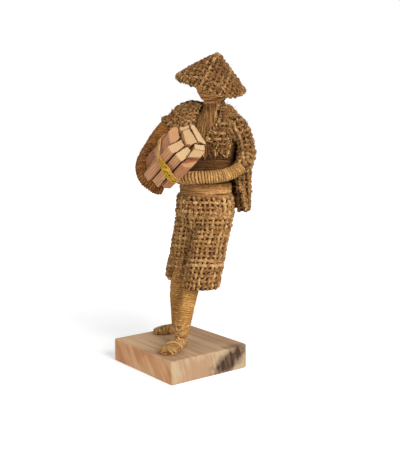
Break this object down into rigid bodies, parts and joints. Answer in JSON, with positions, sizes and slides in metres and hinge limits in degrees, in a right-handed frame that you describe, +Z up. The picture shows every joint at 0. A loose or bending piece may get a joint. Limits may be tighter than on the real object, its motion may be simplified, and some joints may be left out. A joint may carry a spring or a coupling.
{
  "type": "jute craft figurine",
  "caption": "Standing craft figurine of a walking farmer, wound from jute twine and dressed in coarse burlap, with a conical hat and a tied bundle of split sticks, on a square wooden block.",
  "frame": {"origin": "centre of the underside of the wooden block", "axes": "+Z up, -Y the way the figure walks, +X the figure's left"},
  "size_m": [0.1061, 0.1038, 0.2953],
  "materials": {
    "pale_wood": "matte",
    "split_wood": "matte",
    "dark_wood": "matte",
    "jute_twine": "matte",
    "jute_fibre": "matte",
    "burlap": "matte",
    "raffia": "satin",
    "steel_wire": "satin"
  },
  "bodies": {
    "root": {"base_block": "pale_wood", "left_leg_wire": "steel_wire", "right_leg_wire": "steel_wire", "spine_wire": "steel_wire", "arm_wire": "steel_wire", "torso_core": "jute_fibre", "neck_wrap": "jute_fibre", "head": "jute_fibre", "left_leg_wrap": "jute_twine", "right_leg_wrap": "jute_twine", "left_foot_wrap": "jute_twine", "right_foot_wrap": "jute_twine", "left_arm_wrap": "jute_twine", "right_arm_wrap": "jute_twine", "waist_sash": "jute_fibre", "hat": "burlap", "trousers_left_panel": "burlap", "trousers_right_panel": "burlap", "jacket_back": "burlap", "jacket_left_front": "burlap", "jacket_right_front": "burlap", "jacket_left_sleeve": "burlap", "jacket_right_sleeve": "burlap", "stick_plank": "split_wood", "stick_side_slat": "split_wood", "stick_top_slat": "split_wood", "stick_wedge": "split_wood", "stick_square": "split_wood", "stick_small": "split_wood", "stick_middle": "split_wood", "stick_outer": "split_wood", "stick_dark": "dark_wood", "stick_core": "split_wood", "bundle_tie": "raffia", "bundle_knot": "raffia"}
  },
  "joints": []
}
